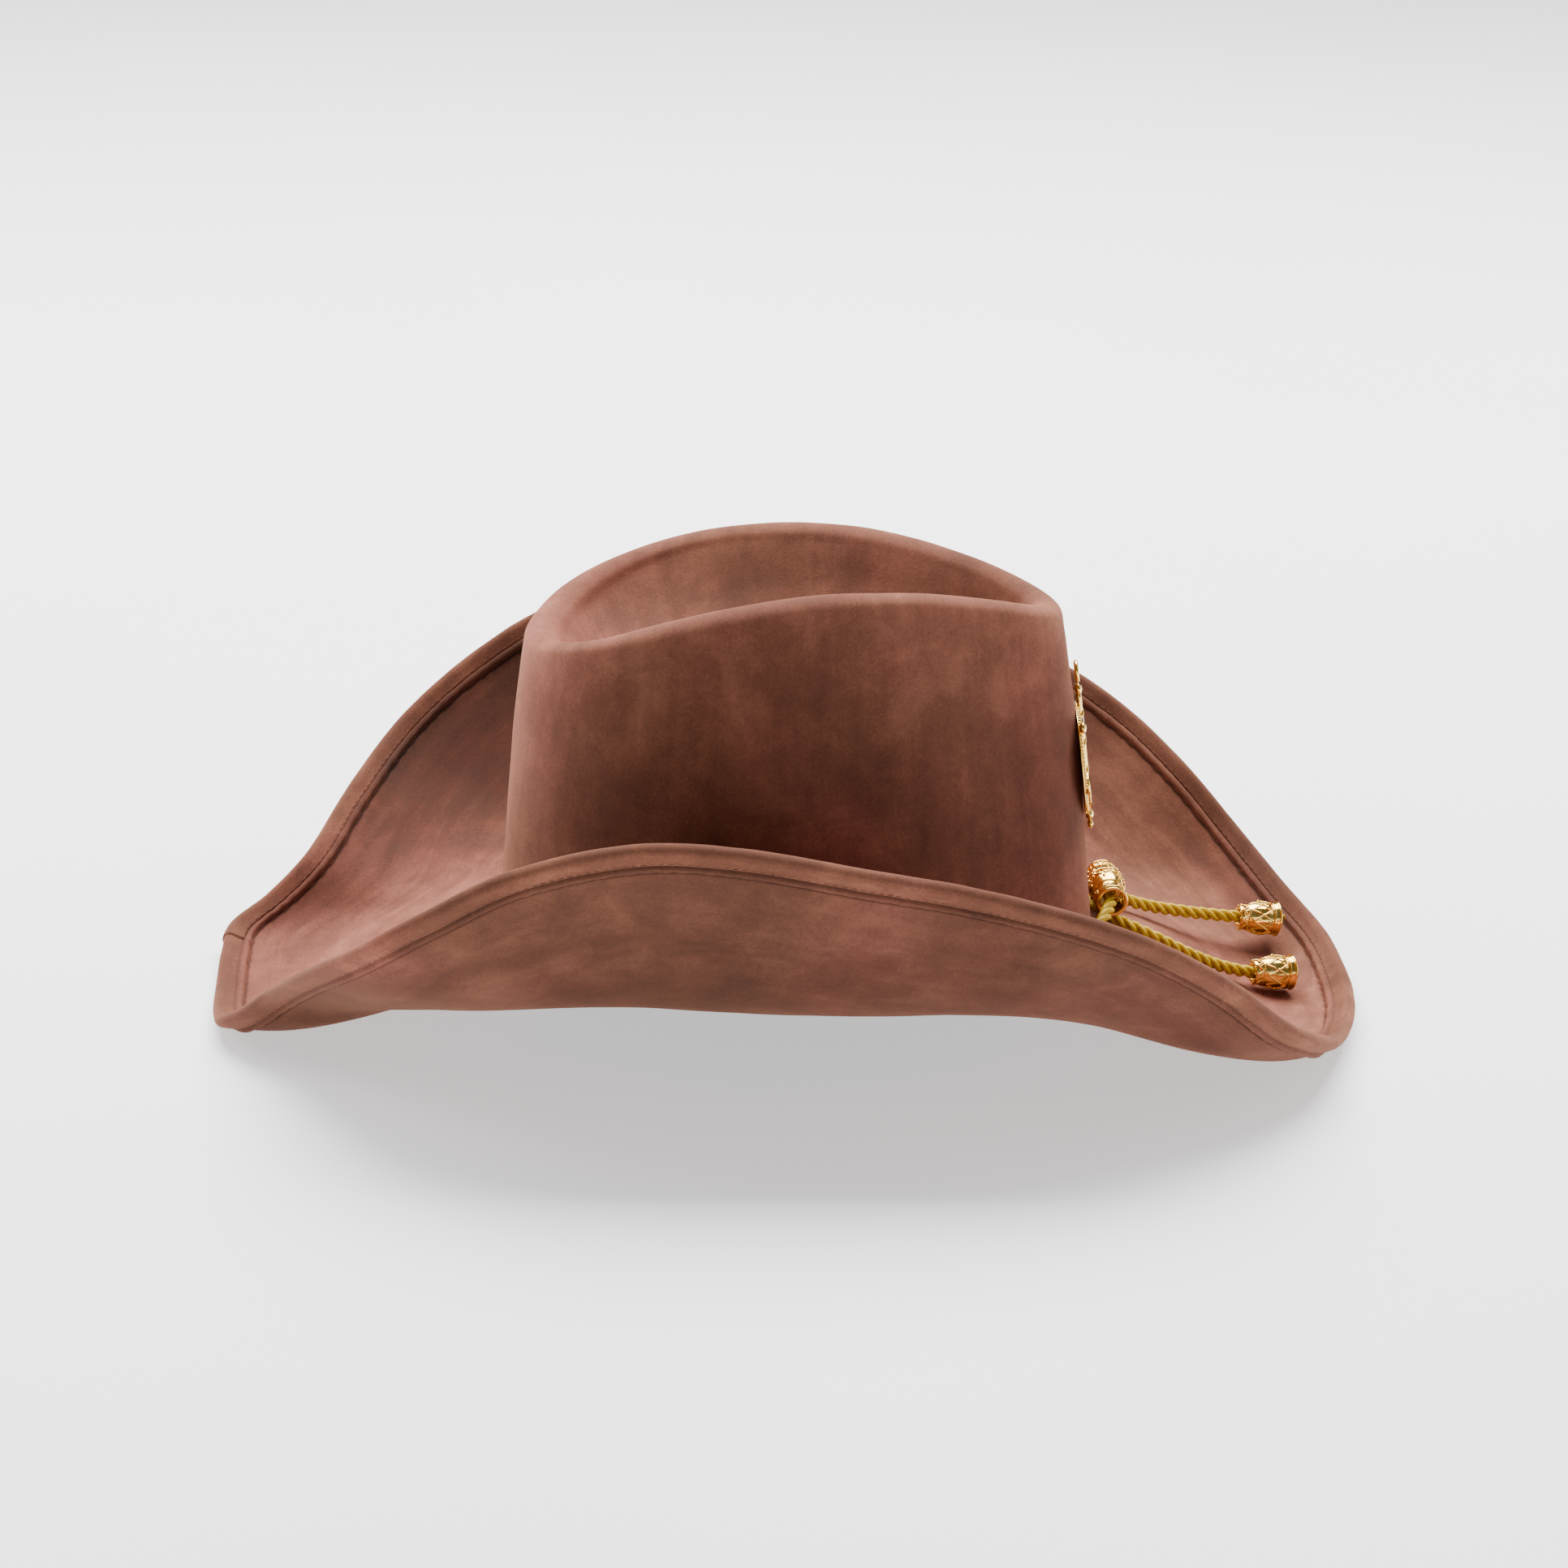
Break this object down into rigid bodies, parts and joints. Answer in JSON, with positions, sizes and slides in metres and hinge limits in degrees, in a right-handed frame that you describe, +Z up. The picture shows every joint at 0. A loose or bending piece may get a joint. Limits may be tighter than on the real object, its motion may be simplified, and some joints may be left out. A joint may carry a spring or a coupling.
{
  "type": "wide-brimmed costume hat",
  "caption": "Wide-brimmed costume hat with a long centre dent in the crown, curled sides, a bound and wired edge, a twisted cord band with a slide and acorn tips, and a cast badge.",
  "frame": {"origin": "on the table under the middle of the hat", "axes": "+X towards the front of the hat, where the badge is; +Z up from the table; +Y to the hat's left side"},
  "size_m": [0.4106, 0.3219, 0.1672],
  "materials": {
    "suede": "matt brushed nap, pinkish brown",
    "stiffener": "stiff non-woven sheet",
    "linen_tape": "woven band, dark",
    "steel": "plain",
    "gold_cord": "satin twisted cord",
    "gold": "polished warm gold"
  },
  "bodies": {
    "hat": {"crown_cover": "suede", "crown_stiffener": "stiffener", "sweatband": "linen_tape", "brim_core": "stiffener", "brim_top_cover": "suede", "brim_under_cover": "suede", "edge_binding": "suede", "brim_wire": "steel", "brim_wire_sleeve": "steel", "hat_cord": "gold_cord", "badge_plate": "gold", "badge_anchor": "gold", "badge_ring": "gold", "badge_stud_upper": "steel", "badge_stud_lower": "steel", "badge_clutch_upper": "steel", "badge_clutch_lower": "steel"},
    "slide": {"cord_slide": "gold"},
    "tail_near": {"cord_tail_near": "gold_cord", "acorn_near": "gold", "cord_knot_near": "gold_cord"},
    "tail_far": {"cord_tail_far": "gold_cord", "acorn_far": "gold", "cord_knot_far": "gold_cord"}
  },
  "joints": [
    {"name": "slide_travel", "type": "slide", "parent": "hat", "child": "slide", "axis": [-0.1071, 0.9914, 0.0753], "range_m": [-0.002, 0.002]},
    {"name": "tail_near_lift", "type": "hinge", "parent": "hat", "child": "tail_near", "pos_m": [0.1256, 0.0022, 0.0314], "axis": [0, -1, 0], "range_deg": [0, 60]},
    {"name": "tail_far_lift", "type": "hinge", "parent": "hat", "child": "tail_far", "pos_m": [0.1148, 0.027, 0.0434], "axis": [0, -1, 0], "range_deg": [0, 50]}
  ]
}
